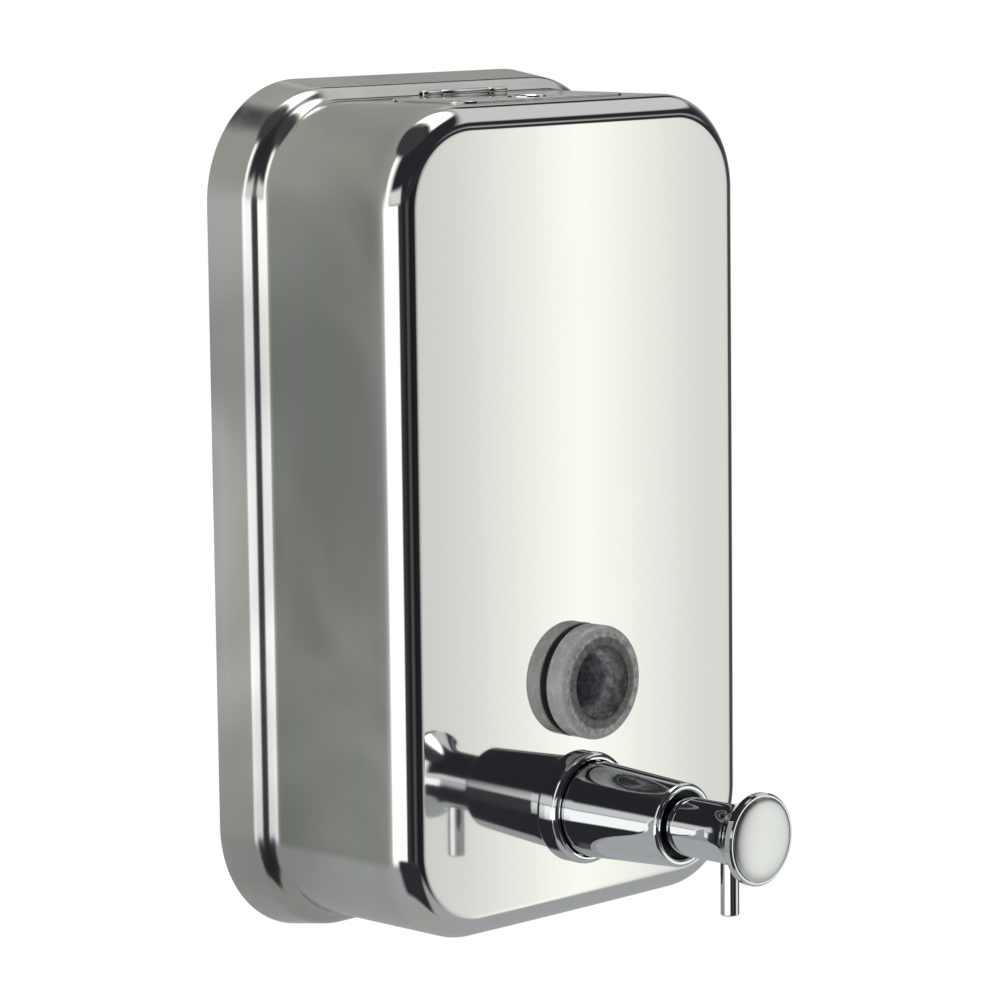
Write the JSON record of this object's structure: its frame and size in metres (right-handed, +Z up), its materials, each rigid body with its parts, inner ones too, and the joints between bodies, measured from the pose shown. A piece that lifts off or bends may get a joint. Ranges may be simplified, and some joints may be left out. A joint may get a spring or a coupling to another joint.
{
  "type": "wall mounted soap dispenser",
  "caption": "Upright polished steel soap tank that hooks on a wall plate, with a push-button pump, a sight glass and a locking fill lid.",
  "frame": {"origin": "on the wall, at the centre of the wall bracket's four screw holes", "axes": "+Z up, +Y into the wall, +X right for a person who faces the dispenser"},
  "size_m": [0.125, 0.1159, 0.202],
  "materials": {
    "polished_steel": "mirror polished",
    "plain_steel": "mill finish",
    "chrome_plate": "bright plating",
    "clear_plastic": "clear, polished",
    "clear_tube": "clear, soft",
    "rubber_seal": "matt",
    "white_plastic": "satin",
    "black_plastic": "satin",
    "spring_steel": "drawn wire"
  },
  "bodies": {
    "wall_bracket": {"wall_bracket": "plain_steel"},
    "tank": {"front_shell": "polished_steel", "back_plate": "plain_steel", "rail_left": "plain_steel", "rail_right": "plain_steel", "mouth_ring": "plain_steel", "hinge_leaf": "polished_steel", "hinge_pin": "plain_steel", "sight_glass": "clear_plastic", "sight_gasket": "rubber_seal", "sight_nut": "white_plastic", "pump_escutcheon": "chrome_plate", "pump_barrel": "chrome_plate", "neck_bush": "black_plastic", "pump_gasket": "rubber_seal", "pump_nut": "white_plastic", "pump_cylinder": "white_plastic", "cylinder_gland": "white_plastic", "inlet_elbow": "white_plastic", "dip_tube": "clear_tube", "return_spring": "spring_steel"},
    "inlet_valve": {"inlet_ball": "spring_steel"},
    "lid": {"fill_lid": "polished_steel", "lid_gasket": "rubber_seal", "lock_case": "chrome_plate", "lock_ring_nut": "chrome_plate"},
    "lock": {"lock_plug": "chrome_plate", "lock_cam": "plain_steel", "cam_screw": "plain_steel"},
    "button": {"push_button": "chrome_plate", "button_cap": "chrome_plate", "outlet_spout": "chrome_plate", "drip_valve": "clear_tube", "piston_rod": "white_plastic", "piston": "white_plastic", "piston_seal": "rubber_seal"}
  },
  "joints": [
    {"name": "lift_off", "type": "slide", "parent": "wall_bracket", "child": "tank", "axis": [0, 0, 1], "range_m": [0, 0.017]},
    {"name": "button_push", "type": "slide", "parent": "tank", "child": "button", "axis": [0, 1, 0], "range_m": [0, 0.01], "stiffness_N_per_m": 600, "springref_m": -0.005, "deforming": ["return_spring"]},
    {"name": "lid_hinge", "type": "hinge", "parent": "tank", "child": "lid", "pos_m": [0, -0.0222, 0.097], "axis": [-1, 0, 0], "range_deg": [0, 100]},
    {"name": "lock_turn", "type": "hinge", "parent": "lid", "child": "lock", "pos_m": [0, -0.043, 0.094], "axis": [0, 0, -1], "range_deg": [0, 90]},
    {"name": "inlet_lift", "type": "slide", "parent": "tank", "child": "inlet_valve", "axis": [0, 0, 1], "range_m": [0, 0.003]}
  ]
}
